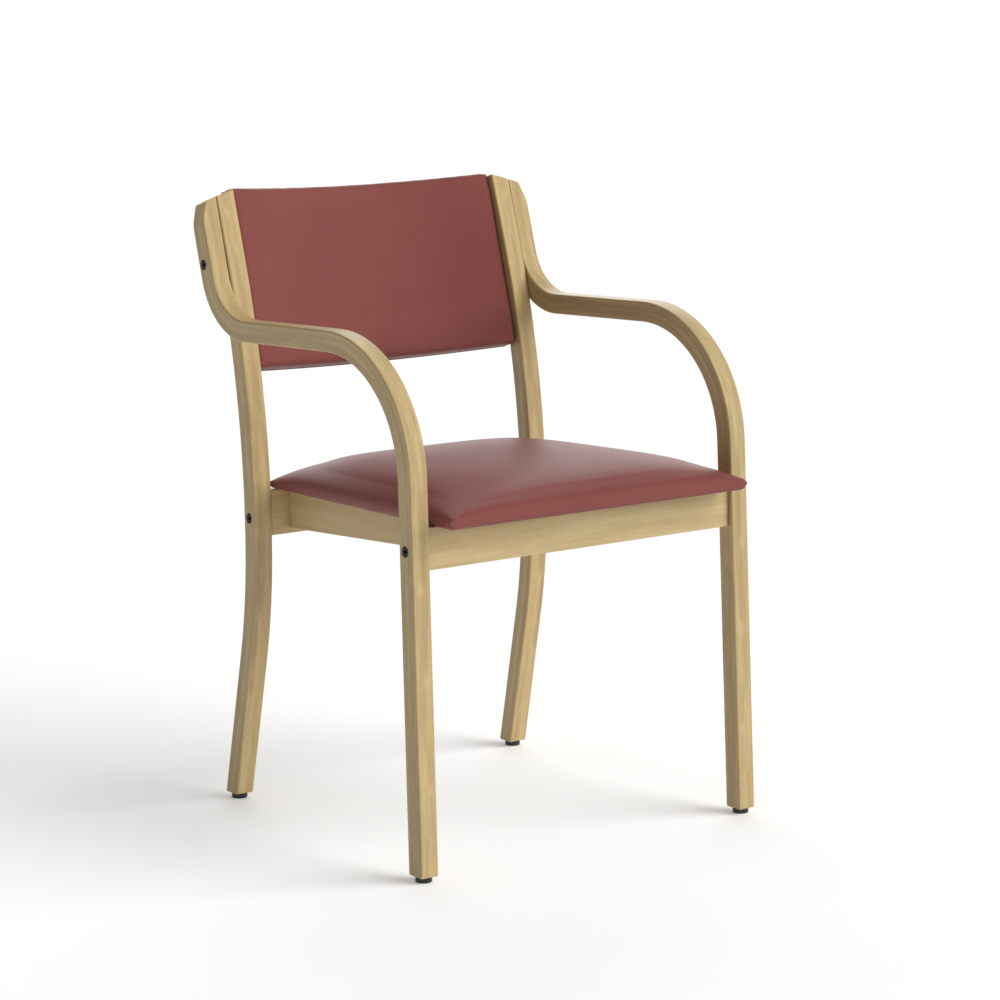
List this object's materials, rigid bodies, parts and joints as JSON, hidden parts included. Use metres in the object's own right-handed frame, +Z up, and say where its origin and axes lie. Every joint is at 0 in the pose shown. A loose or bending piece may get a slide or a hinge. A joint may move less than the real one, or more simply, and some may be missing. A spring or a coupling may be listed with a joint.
{
  "type": "hospital armchair",
  "caption": "Fixed laminated-wood hospital armchair: bentwood leg-and-arm side frames, domed vinyl seat pad, curved vinyl back pad and black floor glides.",
  "frame": {"origin": "on the floor, under the middle of the chair's overall box", "axes": "+Z up, -Y towards the front of the chair where the sitter faces, +X towards the sitter's left side"},
  "size_m": [0.57, 0.6101, 0.8577],
  "materials": {
    "beech": "clear satin lacquer over laminated beech",
    "block": "sawn beech, unlacquered",
    "batten": "sawn beech, unlacquered",
    "dowel": "turned beech, unlacquered",
    "plywood": "raw birch plywood",
    "foam": "open-cell upholstery foam",
    "vinyl": "wine-red upholstery vinyl with a fine grain, semi-matt",
    "dust_cloth": "black non-woven dust cloth",
    "bolt": "black oxide steel",
    "zinc": "bright zinc-plated steel",
    "glide": "black nylon"
  },
  "bodies": {
    "root": {"front_leg_arm_right": "beech", "front_leg_arm_left": "beech", "back_leg_right": "beech", "back_leg_left": "beech", "back_batten_left": "batten", "back_batten_right": "batten", "back_bolt_left": "bolt", "back_bolt_right": "bolt", "back_cover": "vinyl", "back_dowel_left": "dowel", "back_dowel_right": "dowel", "back_foam": "foam", "back_rear_panel": "vinyl", "back_shell": "plywood", "barrel_nut_front_left": "zinc", "barrel_nut_front_right": "zinc", "barrel_nut_rear_left": "zinc", "barrel_nut_rear_right": "zinc", "corner_block_front_left": "block", "corner_block_front_right": "block", "corner_block_rear_left": "block", "corner_block_rear_right": "block", "front_rail": "beech", "front_rail_bolt_left": "bolt", "front_rail_bolt_right": "bolt", "glide_front_left": "glide", "glide_front_right": "glide", "glide_rear_left": "glide", "glide_rear_right": "glide", "glide_screw_front_left": "zinc", "glide_screw_front_right": "zinc", "glide_screw_rear_left": "zinc", "glide_screw_rear_right": "zinc", "insert_nut_left": "zinc", "insert_nut_right": "zinc", "rail_dowel_front_left": "dowel", "rail_dowel_front_right": "dowel", "rail_dowel_rear_left": "dowel", "rail_dowel_rear_right": "dowel", "rear_rail": "beech", "rear_rail_bolt_left": "bolt", "rear_rail_bolt_right": "bolt", "seat_board": "plywood", "seat_cover": "vinyl", "seat_dust_cover": "dust_cloth", "seat_foam": "foam", "seat_screw_front_left": "zinc", "seat_screw_front_right": "zinc", "seat_screw_rear_left": "zinc", "seat_screw_rear_right": "zinc", "side_dowel_front_left": "dowel", "side_dowel_front_right": "dowel", "side_dowel_rear_left": "dowel", "side_dowel_rear_right": "dowel", "side_rail_left": "beech", "side_rail_right": "beech"}
  },
  "joints": []
}
